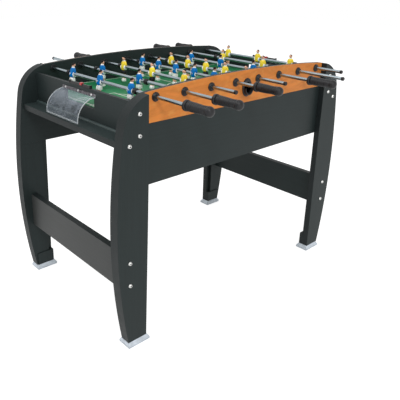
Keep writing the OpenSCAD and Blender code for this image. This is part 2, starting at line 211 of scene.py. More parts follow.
class Nodes:
    """The nodes of a material or of the world's light."""

    def __init__(self, tree):
        self.tree = tree

    def plug(self, socket, value):
        """Links a socket to another one's output, or gives it a value."""
        if isinstance(value, Socket):
            self.tree.links.new(value.link, socket)
        elif socket.type == "RGBA":
            socket.default_value = (*value, 1)
        else:
            socket.default_value = value

    def add(self, kind, settings=None, inputs=None, output=0):
        """Adds a node: its settings first, then its sockets' values or links. Returns one of its outputs."""
        node = self.tree.nodes.new(kind)
        for name, value in (settings or {}).items():
            setattr(node, name, value)
        for name, value in (inputs or {}).items():
            self.plug(node.inputs[name], value)
        return Socket(self, node.outputs[output])

    def seen(self):
        """1 for what the camera, a gloss or a clear sheet sees, and 0 for what lights the table."""
        camera, gloss, sheet = [self.add("ShaderNodeLightPath", output=f"Is {ray} Ray")
                                for ray in ("Camera", "Glossy", "Transmission")]
        return camera.at_least(gloss).at_least(sheet)


class Finish(Nodes):
    """A material with one shader, which patterns on Object coordinates are added to."""

    def __init__(self, name, **shader):
        self.material = bpy.data.materials.new(name)
        self.material.use_nodes = True
        super().__init__(self.material.node_tree)
        self.shader = self.tree.nodes["Principled BSDF"]
        for socket, value in shader.items():
            self.set(socket.replace("_", " ").title().replace("Ior", "IOR"), value)
        self.place = self.add("ShaderNodeTexCoord", output="Object")

    def set(self, socket, value):
        self.plug(self.shader.inputs[socket], value)

    def axes(self):
        """The X, Y and Z of the place on the piece."""
        place = {"Vector": self.place}
        return [self.add("ShaderNodeSeparateXYZ", inputs=place, output=axis) for axis in "XYZ"]

    def noise(self, scale, detail=2.0, rough=0.5, warp=0.0):
        """Smooth noise; scale is its frequency along X, Y and Z."""
        scaled = self.add("ShaderNodeVectorMath", {"operation": "MULTIPLY"}, {0: self.place, 1: scale})
        return self.add("ShaderNodeTexNoise", None, {"Vector": scaled, "Scale": 1.0, "Detail": detail,
                                                     "Roughness": rough, "Distortion": warp})

    def blend(self, mask, low, high):
        """Colour low where mask is 0 and high where it is 1."""
        factor, first, second, result = 0, 6, 7, 2
        colours = {factor: mask, first: low, second: high}
        return self.add("ShaderNodeMix", {"data_type": "RGBA"}, colours, result)

    def bump(self, height, distance, strength=1.0):
        self.set("Normal", self.add("ShaderNodeBump", None, {"Height": height, "Distance": distance,
                                                             "Strength": strength}))


def shade(colour, factor):
    """The colour made darker, or lighter up to white."""
    return tuple(min(1.0, c * factor) for c in colour)


def along(axis, slow, fast):
    """Noise frequencies that are slow along one axis and fast across it."""
    return tuple(slow if a == axis else fast for a in "XYZ")


def laminate(name, colour, axis, rough=0.5):
    """Printed laminate: soft streaks along the board, shallow pores and a cloudy sheen."""
    finish = Finish(name, roughness=rough, specular_ior_level=0.22)
    streaks = finish.noise(along(axis, 5, 120), 5, 0.65)
    clouds = finish.noise((3, 3, 3), 3)
    pores = finish.noise(along(axis, 60, 1400), 2)
    tone = streaks.between(0.32, 0.68) * 0.6 + clouds.between(0.3, 0.7) * 0.4
    finish.set("Base Color", finish.blend(tone, shade(colour, 0.9), shade(colour, 1.1)))
    finish.set("Roughness", clouds * 0.16 + pores * 0.1 + (rough - 0.13))
    finish.bump(pores * 0.6 + streaks * 0.4, 0.12 * MM, 0.6)
    return finish.material


def edge_band(name, colour):
    """Smooth banded board edge, a little rubbed along its length."""
    finish = Finish(name, roughness=0.5, specular_ior_level=0.2)
    rubs = finish.noise((30, 30, 30), 4, 0.6)
    finish.set("Base Color", finish.blend(rubs.between(0.5, 0.8), colour, shade(colour, 1.25)))
    finish.set("Roughness", rubs * 0.2 + 0.4)
    finish.bump(finish.noise((500, 500, 500), 1), 0.05 * MM, 0.4)
    return finish.material


def printed_facing(colour):
    """Orange wood print: broad mottled figure under a satin varnish."""
    finish = Finish("printed_facing", roughness=0.42, specular_ior_level=0.25)
    figure = finish.noise((7, 7, 26), 6, 0.6, 1.2)
    mottle = finish.noise((38, 38, 60), 3, 0.55)
    pores = finish.noise((90, 90, 1500), 2)
    warm = finish.blend(figure.between(0.3, 0.7), shade(colour, 0.82), shade(colour, 1.08))
    finish.set("Base Color", finish.blend(mottle.between(0.5, 0.78) * 0.6, warm,
                                          (colour[0] * 1.02, colour[1] * 1.4, colour[2] * 1.8)))
    finish.set("Roughness", mottle * 0.12 + 0.36)
    finish.bump(pores, 0.06 * MM, 0.4)
    return finish.material


def printed_field(settings, half_length, half_width):
    """Green print with generic pitch markings: border, halfway line, circles, penalty and goal areas."""
    finish = Finish("printed_field", roughness=0.4, specular_ior_level=0.3)
    x, y = finish.axes()[:2]
    run, side = abs(x), abs(y)
    line = settings.line_width
    soft = 0.4 * MM
    margin = 12 * MM
    spot = 5 * MM
    penalty_depth, penalty_half = 186 * MM, 66 * MM
    goal_depth, goal_half = 70 * MM, 45 * MM
    arc_depth, arc_radius = 150 * MM, 55 * MM

    def stroke(distance):
        """1 within half a line's width of where distance is 0."""
        return 1 - abs(distance).between(line / 2 - soft, line / 2 + soft)

    def inside(value, limit):
        """1 as far as a line at the limit reaches, and 0 past it."""
        return 1 - value.between(limit + line / 2 - soft, limit + line / 2 + soft)

    def box(depth, half):
        """The lines of an area that reaches depth in from the end line and half to each side."""
        front = stroke(run - (half_length - depth)) * inside(side, half)
        flank = stroke(side - half) * (1 - inside(run, half_length - depth - line))
        return front.at_least(flank)

    def reach(centre_x):
        """How far the place is from a point on the field's long middle line."""
        away = finish.add("ShaderNodeCombineXYZ", None, {"X": run - centre_x, "Y": y})
        return finish.add("ShaderNodeVectorMath", {"operation": "LENGTH"}, {0: away}, "Value")

    from_middle = reach(0.0)
    arc = stroke(reach(half_length - arc_depth) - arc_radius) * inside(run, half_length - penalty_depth)
    lines = stroke(x)
    for mark in (stroke(from_middle - settings.circle_radius), stroke(side - (half_width - margin)),
                 stroke(run - (half_length - margin)), box(penalty_depth, penalty_half),
                 box(goal_depth, goal_half), arc, 1 - from_middle.between(spot, spot + 2 * soft)):
        lines = lines.at_least(mark)
    wear = finish.noise((60, 60, 60), 4, 0.65)
    turf = finish.noise((9, 9, 9), 3)
    grass = finish.blend(turf.between(0.3, 0.7), shade(settings.green, 0.86), shade(settings.green, 1.16))
    finish.set("Base Color", finish.blend(lines * wear.between(0.2, 0.45), grass, settings.marking))
    finish.set("Roughness", wear * 0.15 + 0.33)
    finish.bump(finish.noise((700, 700, 700), 1), 0.04 * MM, 0.3)
    return finish.material


def plated_steel(name, colour, axis, rough=0.2):
    """Plated steel with faint drawing marks along its length."""
    finish = Finish(name, metallic=1.0, roughness=rough)
    marks = finish.noise(along(axis, 8, 900), 3, 0.6)
    smears = finish.noise((22, 22, 22), 3)
    finish.set("Base Color", finish.blend(smears.between(0.35, 0.7), shade(colour, 0.9), colour))
    finish.set("Roughness", marks * 0.14 + smears * 0.1 + (rough - 0.1))
    finish.bump(marks, 0.02 * MM, 0.35)
    return finish.material


def moulded(name, colour, rough=0.45, grain=1600, relief=0.05, coat=0.0, gloss=0.35):
    """Moulded plastic or rubber: an even colour with a fine cast texture and handled patches."""
    finish = Finish(name, roughness=rough, coat_weight=coat, coat_roughness=0.15, specular_ior_level=gloss)
    handled = finish.noise((35, 35, 35), 4, 0.6)
    tone = handled.between(0.35, 0.75)
    finish.set("Base Color", finish.blend(tone, shade(colour, 0.88), shade(colour, 1.14)))
    finish.set("Roughness", handled * 0.2 + (rough - 0.1))
    finish.bump(finish.noise((grain, grain, grain), 2, 0.6), relief * MM, 0.5)
    return finish.material


def raw_wood(name):
    """Plain sawn softwood with growth streaks."""
    finish = Finish(name, roughness=0.7)
    growth = finish.noise(along("X", 4, 90), 5, 0.6, 0.8)
    saw = finish.noise(along("X", 300, 40), 2)
    early, late = (0.5, 0.32, 0.17), (0.34, 0.19, 0.09)
    finish.set("Base Color", finish.blend(growth.between(0.35, 0.68), early, late))
    finish.set("Roughness", growth * 0.2 + 0.6)
    finish.bump(growth * 0.5 + saw * 0.5, 0.15 * MM, 0.5)
    return finish.material


def clear_sheet(settings, low, high):
    """Clear moulded sheet, milky where it is scuffed, and lighter towards its top as painted sheen."""
    finish = Finish("clear_sheet", base_color=settings.sheet, roughness=0.18, ior=1.49)
    scuffs = finish.noise((42, 42, 42), 4, 0.7, 0.9)
    dimples = finish.noise((130, 130, 130), 2)
    # Less clear towards the top: painted sheen of light on the hood's upper part.
    top = finish.axes()[2].between(low + 0.4 * (high - low), high)
    finish.set("Alpha", scuffs.between(0.4, 0.7) * 0.14 + top * 0.16 + (settings.haze - 0.06))
    finish.set("Roughness", scuffs * 0.25 + 0.1)
    finish.bump(dimples, 0.5 * MM, 0.5)
    return finish.material


def frosted_edge():
    """The hood's cut edges and beads, which catch the light and look almost white."""
    finish = Finish("frosted_edge", base_color=(0.72, 0.76, 0.78), roughness=0.35, ior=1.49)
    finish.set("Alpha", finish.noise((120, 120, 120), 3) * 0.4 + 0.5)
    finish.bump(finish.noise((600, 600, 600), 2), 0.08 * MM, 0.6)
    return finish.material


def hazy_flange():
    """The hood's flat flange, backed by the panel: greyer and less clear than the sheet."""
    finish = Finish("hazy_flange", base_color=(0.2, 0.18, 0.2), roughness=0.3, ior=1.49)
    finish.set("Alpha", finish.noise((90, 90, 90), 3).between(0.3, 0.7) * 0.3 + 0.45)
    finish.bump(finish.noise((300, 300, 300), 2), 0.1 * MM, 0.5)
    return finish.material


# ---- Shapes ----


def turned(shape, profile, start, direction, steps=32, finish=0):
    """Spins (distance, radius) points about the line from start along direction; radius 0 closes an end."""
    turn = Vector((0, 0, 1)).rotation_difference(Vector(direction)).to_matrix().to_4x4()
    place = Matrix.Translation(start) @ turn
    before = set(shape.verts)
    verts = [shape.verts.new((r, 0, d)) for d, r in profile]
    edges = [shape.edges.new(pair) for pair in zip(verts, verts[1:])]
    bmesh.ops.spin(shape, geom=verts + edges, cent=(0, 0, 0), axis=(0, 0, 1), angle=2 * pi, steps=steps,
                   use_merge=True)
    made = [v for v in shape.verts if v not in before]
    for face in {f for v in made for f in v.link_faces}:
        face.material_index = finish
    bmesh.ops.transform(shape, matrix=place, verts=made)
    bmesh.ops.remove_doubles(shape, verts=made, dist=1e-6)


def ring(shape, centre, half_x, half_y, segments=16, square=0.0):
    """A level ring of vertices: an ellipse, pushed towards its box's corners by square from 0 to 1."""
    made = bmesh.ops.create_circle(shape, segments=segments, radius=1)
    for vert in made["verts"]:
        x, y = vert.co.x, vert.co.y
        push = 1 + square * (1 / max(abs(x), abs(y)) - 1)
        vert.co = Vector(centre) + Vector((x * push * half_x, y * push * half_y, 0))
    return made["verts"]


def lofted(shape, rings, finish=0, segments=16, square=0.0):
    """Bridges level rings, each (z, middle x, half x, half y, middle y), upwards, and caps both ends."""
    loops = [ring(shape, (x, y, z), hx, hy, segments, square) for z, x, hx, hy, y in rings]
    edges = [list({e for v in loop for e in v.link_edges}) for loop in loops]
    faces = []
    for low, high in zip(edges, edges[1:]):
        faces += bmesh.ops.bridge_loops(shape, edges=low + high)["faces"]
    faces += [shape.faces.new(loops[0][::-1]), shape.faces.new(loops[-1])]
    for face in faces:
        face.material_index = finish


def ball(shape, centre, halves, finish=0, segments=16, rings=10):
    """A sphere stretched to three half sizes."""
    matrix = Matrix.Translation(centre) @ Matrix.Diagonal((*halves, 1))
    made = bmesh.ops.create_uvsphere(shape, u_segments=segments, v_segments=rings, radius=1, matrix=matrix)
    faces = {f for v in made["verts"] for f in v.link_faces}
    for face in faces:
        face.material_index = finish
    return made["verts"], faces


def solid_copy(node):
    """A CAD node's shape as a closed mesh with whole flat faces."""
    shape = bmesh.new()
    shape.from_mesh(frame["nodes"][node].data)
    bmesh.ops.remove_doubles(shape, verts=shape.verts, dist=1e-6)
    bmesh.ops.dissolve_limit(shape, angle_limit=radians(0.4), verts=shape.verts, edges=shape.edges)
    return shape


def soften(shape, width, corner=28, segments=2):
    """Rounds every edge that turns by more than corner degrees."""
    sharp = [e for e in shape.edges if e.is_manifold and e.calc_face_angle() > radians(corner)]
    bmesh.ops.bevel(shape, geom=sharp, offset=width, offset_type="OFFSET", segments=segments, profile=0.5,
                    affect="EDGES", clamp_overlap=True, material=-1)


def piece(name, shape, finishes, body, nodes=(), even=False, rounded=0, sharp=40):
    """Makes a bmesh an object with its finishes, which rides on a body and stands for CAD nodes."""
    bmesh.ops.recalc_face_normals(shape, faces=shape.faces)
    for face in shape.faces:
        face.smooth = True
    for edge in shape.edges:
        edge.smooth = edge.is_manifold and edge.calc_face_angle() < radians(sharp)
    mesh = bpy.data.meshes.new(name)
    shape.to_mesh(mesh)
    shape.free()
    for finish in finishes:
        mesh.materials.append(finish)
    made = bpy.data.objects.new(name, mesh)
    bpy.context.scene.collection.objects.link(made)
    if rounded:
        made.modifiers.new("Rounded", "SUBSURF").levels = rounded
        made.modifiers["Rounded"].render_levels = rounded
    if even:
        made.modifiers.new("Even shading", "WEIGHTED_NORMAL").keep_sharp = True
    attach(made, body)
    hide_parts(*nodes)


def shell(node, name, finish, width, corner=30, segments=2, body="cabinet"):
    """A CAD node's solid in one finish, with softened edges."""
    shape = solid_copy(node)
    soften(shape, width, corner, segments)
    piece(name, shape, [finish], body, [node], even=True)


def board(node, finishes, broad, width):
    """A board with softened edges: its broad faces take the first finish and its edges the second.

    Broad faces that look towards the table's middle take the third finish, where there is one; a darker
    third finish is painted shade on those inward faces.
    """
    shape = solid_copy(node)
    soften(shape, width)
    shape.normal_update()
    axis = "XYZ".index(broad)
    for face in shape.faces:
        inward = face.normal[axis] * face.calc_center_median()[axis] < 0
        flat = 2 if inward and len(finishes) > 2 else 0
        face.material_index = flat if abs(face.normal[axis]) > 0.75 else 1
    piece(node + "_board", shape, finishes, "cabinet", [node], even=True)


# ---- Pieces ----


class FOOSBALL_OT_boards(bpy.types.Operator):
    """Make the laminated boards of the cabinet, legs, trays and stretchers"""

    bl_idname = "foosball.boards"
    bl_label = "Boards"

    def execute(self, context):
        settings = context.scene.foosball_boards
        edge = settings.edge_round
        band = edge_band("edge_band", settings.edge_band)
        upright = laminate("black_laminate_upright", settings.black, "Z")
        lengthwise = laminate("black_laminate_lengthwise", settings.black, "X")
        crosswise = laminate("black_laminate_crosswise", settings.black, "Y")
        grey = laminate("grey_laminate", settings.grey, "Y", 0.46)
        # The trays take the black laminate 1.3 times lighter: painted light on their tops, which lie in the
        # shade of the panels and hoods.
        tray = laminate("tray_lit_laminate", shade(settings.black, 1.3), "Y")
        for leg in LEGS:
            board(leg, [upright, band], "Y", edge)
        board("side_walls", [lengthwise, band], "Y", edge)
        board("goal_panels", [crosswise, band], "X", edge)
        board("ball_trays", [tray, band], "Z", edge)
        self.seams(settings)
        board("leg_liners", [upright, band], "Y", edge)
        # The stretchers' inward faces take the black laminate, darker than the grey of their outward faces:
        # painted shade on the faces that look into the table.
        board("stretchers", [grey, band, crosswise], "X", edge)
        return {"FINISHED"}

    def seams(self, settings):
        """The bead along the corner between each tray and its panel, in a lighter black that paints a
        highlight along the seam.
        """
        low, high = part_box("ball_trays")
        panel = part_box("goal_panels")[1].x
        shape = bmesh.new()
        for end in (-1, 1):
            place = Matrix.Translation((end * panel, 0, high.z)) @ Matrix.Rotation(pi / 2, 4, "X")
            bmesh.ops.create_cone(shape, cap_ends=True, segments=24, radius1=settings.seam,
                                  radius2=settings.seam, depth=high.y - low.y, matrix=place)
        # 2.2 times the black: a painted highlight along the bead
        plastic = moulded("seam_highlight_plastic", shade(settings.black, 2.2), 0.4)
        piece("tray_seams", shape, [plastic], "cabinet")


class FOOSBALL_OT_prints(bpy.types.Operator):
    """Make the printed side facings and the marked playing field"""

    bl_idname = "foosball.prints"
    bl_label = "Facings and field"

    def execute(self, context):
        settings = context.scene.foosball_prints
        facing = printed_facing(settings.orange)
        raw_edge = moulded("facing_edge", settings.facing_edge, 0.6, 900)
        board("side_facings", [facing, raw_edge], "Y", 0.3 * MM)
        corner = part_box("playfield")[1]
        field = printed_field(settings, corner.x, corner.y)
        edge = moulded("field_edge", settings.green, 0.5, 700)
        board("playfield", [field, edge], "Z", 0.4 * MM)
        board("field_battens", [raw_wood("batten_wood")] * 2, "Z", 0.8 * MM)
        return {"FINISHED"}


class FOOSBALL_OT_fittings(bpy.types.Operator):
    """Make the bolts, foot pads, rod bearings and ball entry"""

    bl_idname = "foosball.fittings"
    bl_label = "Fittings"

    def execute(self, context):
        boards, rods = context.scene.foosball_boards, context.scene.foosball_rods
        pale = moulded("pad_plastic", boards.pad, 0.4, 900, 0.06)
        shell("foot_pads", "foot_pad_shells", pale, 1.6 * MM, 20, 3)
        self.bolts()
        self.sockets()
        black = moulded("bearing_plastic", rods.plastic, 0.38, 1200, 0.04)
        shell("rod_bearings", "rod_bearing_shells", black, 0.5 * MM)
        cup = solid_copy("ball_entry_cup")
        self.draw_out(cup)
        soften(cup, 0.6 * MM, 30)
        piece("ball_entry_shell", cup, [black], "cabinet", ["ball_entry_cup"], even=True)
        return {"FINISHED"}

    def bolts(self):
        """The bolts, and the hoods' screws in a darker steel."""
        bright = plated_steel("bolt_steel", (0.72, 0.72, 0.7), "Y", 0.3)
        dark = plated_steel("hood_screw_steel", (0.5, 0.5, 0.5), "X", 0.35)
        shape = solid_copy("bolts_and_screws")
        soften(shape, 0.5 * MM)
        half_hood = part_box("goal_hoods")[1].y
        near_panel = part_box("goal_panels")[1].x + 20 * MM
        for face in shape.faces:
            middle = face.calc_center_median()
            face.material_index = 1 if abs(middle.x) < near_panel and abs(middle.y) < half_hood else 0
        piece("bolt_shanks", shape, [bright, dark], "cabinet", ["bolts_and_screws"],
              even=True)

    def sockets(self):
        """The dark hexagon in each bolt's head: a solid near-black plug as painted shade in place of the
        socket's hollow.
        """
        shape = bmesh.new()
        low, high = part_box("stretchers")
        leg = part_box("leg_near_right")[0]
        across = high.x - STRETCHER_BOLT_IN
        places = [(leg.x + out, rod_axis(1).z - down) for out, down in WALL_BOLTS]
        places += [(across, low.z + STRETCHER_BOLT_EDGE), (across, high.z - STRETCHER_BOLT_EDGE)]
        hexagon = [(3.0 * MM, 0), (3.0 * MM, 2.9 * MM), (4.15 * MM, 3.1 * MM), (4.15 * MM, 0)]
        for x, z in places:
            for end in (-1, 1):
                for side in (-1, 1):
                    turned(shape, hexagon, Vector((end * x, -side * leg.y, z)), (0, side, 0), 6)
        piece("bolt_sockets", shape, [moulded("socket_shadow", (0.02, 0.02, 0.02), 0.5)], "cabinet")

    def draw_out(self, shape):
        """Draws the entry's rim out into a tall oval; its bore and its part in the wall stay round."""
        low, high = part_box("ball_entry_cup")
        middle = (low + high) / 2
        rim = (high.x - low.x) / 2
        bore = 0.7 * rim
        stretch = 0.36
        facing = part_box("side_facings")[0].y
        for corner in shape.verts:
            if corner.co.y < facing + 0.01 * MM:
                drop = corner.co.z - middle.z
                past_bore = max(hypot(corner.co.x - middle.x, drop) - bore, 0)
                corner.co.z = middle.z + drop * (1 + stretch * past_bore / (rim - bore))


class FOOSBALL_OT_hoods(bpy.types.Operator):
    """Make the clear goal hoods with their beads, and the score counters"""

    bl_idname = "foosball.hoods"
    bl_label = "Hoods and counters"

    def execute(self, context):
        settings = context.scene.foosball_hoods
        low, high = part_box("goal_hoods")
        frosted = frosted_edge()
        finishes = [clear_sheet(settings, low.z, high.z), frosted, hazy_flange()]
        shape = solid_copy("goal_hoods")
        soften(shape, 0.5 * MM, 40)
        shape.normal_update()
        for face in shape.faces:
            height = face.calc_center_median().z
            cut_edge = abs(face.normal.y) > 0.5 or height < low.z + 0.6 * MM
            face.material_index = 1 if cut_edge else 2 if height > high.z - HOOD_FLANGE else 0
        piece("goal_hood_sheets", shape, finishes, "cabinet", ["goal_hoods"], even=True)
        self.beads(settings, frosted)
        black = moulded("counter_plastic", (0.02, 0.019, 0.019), 0.4)
        shell("score_rails", "score_rail_shells", black, 0.7 * MM, 40)
        red = moulded("red_plastic", settings.red, 0.3, 800, 0.03, coat=0.3)
        for side in ("left", "right"):
            node = f"score_slider_{side}"
            shell(node, node + "_shell", red, 0.8 * MM, 40, 3, node)
        return {"FINISHED"}

    def beads(self, settings, finish):
        """Raised beads along the hood's two curved edges, and a straight one across its foot."""
        shape = bmesh.new()
        low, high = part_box("goal_hoods")
        foot = 4 * MM
        middle = Vector((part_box("goal_panels")[1].x, 0, low.z + foot))
        reach, rise = high.x - middle.x, high.z - HOOD_FLANGE - middle.z
        radius = settings.bead / 2
        for side in (-1, 1):
            place = Matrix.Translation((0, side * (high.y - radius), rise - 0.6 * radius))
            upright = place @ Matrix.Rotation(pi / 2, 4, "Y")
            section = bmesh.ops.create_circle(shape, segments=8, radius=radius, matrix=upright)["verts"]
            outline = section + list({e for v in section for e in v.link_edges})
            bmesh.ops.spin(shape, geom=outline, cent=(0, 0, 0), axis=(0, 1, 0), angle=pi / 2, steps=20)
        bmesh.ops.holes_fill(shape, edges=[e for e in shape.edges if e.is_boundary], sides=8)
        bmesh.ops.scale(shape, vec=((reach - 0.4 * radius) / rise, 1, 1), verts=shape.verts)
        place = Matrix.Translation((reach - 1.2 * radius, 0, 0)) @ Matrix.Rotation(pi / 2, 4, "X")
        bmesh.ops.create_cone(shape, cap_ends=True, segments=8, radius1=radius, radius2=radius,
                              depth=2 * (high.y - radius), matrix=place)
        bmesh.ops.translate(shape, vec=middle, verts=shape.verts)
        made = bmesh.ops.duplicate(shape, geom=shape.verts[:] + shape.edges[:] + shape.faces[:])
        other_end = [g for g in made["geom"] if isinstance(g, bmesh.types.BMVert)]
        bmesh.ops.rotate(shape, verts=other_end, cent=(0, 0, 0), matrix=Matrix.Rotation(pi, 3, "Z"))
        piece("goal_hood_beads", shape, [finish], "cabinet")


class FOOSBALL_OT_rods(bpy.types.Operator):
    """Make the rods with their grips, end caps and bumpers"""

    bl_idname = "foosball.rods"
    bl_label = "Rods"

    def grip(self, settings, k):
        """A turned grip: a collar, a ribbed waisted body and a rounded end with a raised ring."""
        low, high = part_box(f"rod_{k}_grip")
        side = grip_side(k)
        size = high.y - low.y
        bore = 6.35 * MM
        collar = (high.x - low.x) / 2
        collar_end = 9.6 * MM
        chamfer = 1.2 * MM
        body = collar - 2 * MM
        profile = [(0, bore), (0, collar - chamfer), (chamfer, collar), (collar_end - chamfer, collar),
                   (collar_end, collar - chamfer), (collar_end + 0.8 * MM, body - 1.8 * MM),
                   (collar_end + 3.4 * MM, body - 1.4 * MM)]
        first, last = 15 * MM, size - 20 * MM
        ribs = int((last - first) / settings.rib_pitch)
        step = (last - first) / ribs
        for i in range(ribs):
            at = first + step * i
            waist = body - 0.7 * MM * (1 - cos(2 * pi * (i / ribs) ** 2))
            groove = waist - settings.rib_depth
            profile += [(at, waist), (at + 0.62 * step, waist), (at + 0.7 * step, groove),
                        (at + 0.92 * step, groove)]
        ring_at, ring_width = size - 17 * MM, 4 * MM
        profile += [(last, body), (ring_at, body + 0.7 * MM), (ring_at + ring_width, body + 0.7 * MM),
                    (ring_at + ring_width + 1 * MM, body - 0.3 * MM)]
        dome = 11 * MM
        profile += [(size - dome * (1 - sin(a)), body * cos(a)) for a in (radians(10 * i) for i in range(9))]
        profile += [(size, 0)]
        shape = bmesh.new()
        axis = rod_axis(k)
        turned(shape, profile, (axis.x, low.y if side > 0 else high.y, axis.z), (0, side, 0), 40)
        return shape

    def tube(self, k):
        """A rod's tube with its open, chamfered ends."""
        low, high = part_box(f"rod_{k}_tube")
        size, radius = high.y - low.y, (high.x - low.x) / 2
        inner = radius - 1.5 * MM
        chamfer = 0.4 * MM
        profile = [(0, inner), (0, radius - chamfer), (chamfer, radius), (size - chamfer, radius),
                   (size, radius - chamfer), (size, inner), (0, inner)]
        shape = bmesh.new()
        axis = rod_axis(k)
        turned(shape, profile, (axis.x, low.y, axis.z), (0, 1, 0), 36)
        return shape

    def execute(self, context):
        settings = context.scene.foosball_rods
        steel = plated_steel("rod_steel", settings.steel, "Y", 0.22)
        grip = moulded("grip_plastic", settings.plastic, 0.42, 700, 0.12)
        cap = moulded("cap_plastic", settings.plastic, 0.4)
        rubber = moulded("bumper_rubber", shade(settings.plastic, 0.9), 0.62, 500, 0.1)
        for k in RODS:
            rod, handle = f"rod_{k}", self.grip(settings, k)
            piece(rod + "_steel", self.tube(k), [steel], rod, [rod + "_tube"])
            piece(rod + "_handle", handle, [grip], rod, [rod + "_grip"], sharp=50)
            shell(rod + "_end_cap", rod + "_end", cap, 0.6 * MM, body=rod)
            shell(rod + "_bumpers", rod + "_stops", rubber, 0.5 * MM,
                  body=rod + "_carriage")
        return {"FINISHED"}


class FOOSBALL_OT_players(bpy.types.Operator):
    """Make the players of both teams, each moulded in one piece and painted"""

    bl_idname = "foosball.players"
    bl_label = "Players"

    SHIRT, SHORTS, SLEEVE, LEG, SHOE, SKIN, HAIR, EYE, SCREW = range(9)

    def figure(self):
        """One player about the rod, drawn in millimetres, facing +X: rounded forms, each in its finish."""
        shape = bmesh.new()
        lofted(shape, [(-61.2, 1.2, 8.3, 9, 0), (-60.6, 1.2, 8.7, 9.4, 0), (-53, 1.2, 8.6, 9.3, 0),
                       (-50.5, 0.4, 7.6, 9, 0), (-49, -0.3, 6.4, 8.4, 0)], self.SHOE, square=0.55)
        for side in (-1, 1):
            self.limbs(shape, side)
        self.body(shape)
        self.head(shape)
        screw_head = [(0, 0), (0, 2.6), (-0.8, 2.9), (-1.6, 2.9)]
        turned(shape, screw_head, (-11.4, 0, 0), (-1, 0, 0), 16, self.SCREW)
        bmesh.ops.recalc_face_normals(shape, faces=shape.faces)
        bmesh.ops.scale(shape, vec=(MM, MM, MM), verts=shape.verts)
        mesh = bpy.data.meshes.new("player_pattern")
        shape.to_mesh(mesh)
        shape.free()
        return mesh

    def limbs(self, shape, side):
        """A leg, its half of the shorts, an arm and a hand on the rod."""
        lofted(shape, [(-51, -0.6, 4.6, 3.8, 4.6 * side), (-45, -0.9, 5.4, 4.3, 4.6 * side),
                       (-38, -0.3, 4.8, 3.9, 4.8 * side), (-35, 0.2, 5.2, 4.1, 4.9 * side),
                       (-28, 0, 6.1, 4.8, 5.1 * side)], self.LEG, 12)
        lofted(shape, [(-31.5, 0.2, 8.2, 5.4, 5.4 * side), (-30.6, 0.2, 9.2, 5.9, 5.4 * side),
                       (-22, 0.1, 9.7, 5.9, 5.2 * side), (-15, 0, 9.2, 5.5, 4.9 * side)],
               self.SHORTS, 14, 0.3)
        lofted(shape, [(5, 0.2, 4.6, 2.6, 13 * side), (6, 0.2, 5.4, 2.9, 13 * side),
                       (12, 0, 4.9, 3.1, 12.2 * side), (17, -0.1, 4.3, 3.0, 10.8 * side),
                       (20.5, 0, 3.0, 2.2, 8.8 * side)], self.SHIRT, 12)
        ball(shape, (1.4, 11.5 * side, -2.5), (10, 4.5, 10.5), self.SLEEVE, 14, 10)

    def body(self, shape):
        """The waistband, the shirt, its collar and the neck."""
        lofted(shape, [(-18, 0.1, 9.2, 10.4, 0), (-12, 0, 9.6, 10.8, 0)], self.SHORTS, 18, 0.35)
        lofted(shape, [(-13.8, 0, 9.4, 10.7, 0), (-13, 0, 10.3, 11.5, 0), (-7, 0, 10.8, 11.8, 0),
                       (0, 0.1, 11.4, 12, 0), (8, 0.2, 10.6, 12, 0), (15, 0, 9.4, 11.2, 0),
                       (19.5, -0.3, 7.6, 9.4, 0), (22.5, -0.4, 5.9, 6.8, 0), (24.2, -0.3, 4.3, 5, 0)],
               self.SHIRT, 20, 0.3)
        lofted(shape, [(20.6, -0.3, 6.2, 7.4, 0), (22.6, -0.3, 6.7, 7.4, 0), (25.4, -0.1, 5.4, 6, 0),
                       (26.6, 0, 4, 4.2, 0)], self.SLEEVE, 16)
        lofted(shape, [(22, 0, 3.5, 3.3, 0), (29, 0.4, 3.4, 3.2, 0)], self.SKIN, 14)

    def head(self, shape):
        """The head with its nose, ears and eyes, and a cap of hair cut off along a slant above the brow."""
        ball(shape, (0.8, 0, 32.6), (7.4, 6.5, 7.9), self.SKIN)
        ball(shape, (8, 0, 31.4), (1.3, 1, 1.5), self.SKIN, 8, 6)
        for side in (-1, 1):
            ball(shape, (0.6, 6.4 * side, 32), (1.4, 0.8, 1.9), self.SKIN, 8, 6)
            ball(shape, (7.3, 2.5 * side, 33.9), (0.7, 0.85, 0.85), self.EYE, 8, 6)
        verts, faces = ball(shape, (0.5, 0, 32.7), (7.9, 7.0, 8.2), self.HAIR)
        edges = {e for v in verts for e in v.link_edges}
        cut = bmesh.ops.bisect_plane(shape, geom=[*verts, *edges, *faces], plane_co=(2.2, 0, 35.6),
                                     plane_no=(0.62, 0, -1), clear_outer=True)
        rim = [g for g in cut["geom_cut"] if isinstance(g, bmesh.types.BMEdge)]
        for face in bmesh.ops.contextual_create(shape, geom=rim)["faces"]:
            face.material_index = self.HAIR

    def team(self, k, pattern, width):
        """Rod k's players, spread evenly from one end of its row to the other."""
        low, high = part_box(f"rod_{k}_players")
        facing = 0 if k in BLUE_RODS else pi
        turn = Matrix.Rotation(radians(REST_TURN[k - 1]), 4, "Y") @ Matrix.Rotation(facing, 4, "Z")
        axis = rod_axis(k)
        count = PLAYER_COUNT[k - 1]
        shape = bmesh.new()
        for i in range(count):
            before = set(shape.verts)
            shape.from_mesh(pattern)
            y = low.y + width / 2 + (high.y - low.y - width) * i / (count - 1)
            place = Matrix.Translation((axis.x, y, axis.z)) @ turn
            bmesh.ops.transform(shape, matrix=place, verts=[v for v in shape.verts if v not in before])
        return shape

    def execute(self, context):
        paint = context.scene.foosball_players
        white = moulded("white_paint", paint.white, 0.4, 500, coat=0.05, gloss=0.2)
        black = moulded("black_paint", paint.black, 0.4, 500, coat=0.05, gloss=0.2)
        blue = moulded("blue_paint", paint.blue, 0.4, 500, coat=0.05, gloss=0.12)
        yellow = moulded("yellow_paint", paint.yellow, 0.4, 500, coat=0.05, gloss=0.2)
        skin = moulded("skin_paint", paint.skin, 0.45, 500, gloss=0.2)
        hair = moulded("hair_paint", paint.hair, 0.6, 350, 0.2, gloss=0.12)
        screw = plated_steel("player_screw", (0.6, 0.6, 0.6), "X", 0.3)
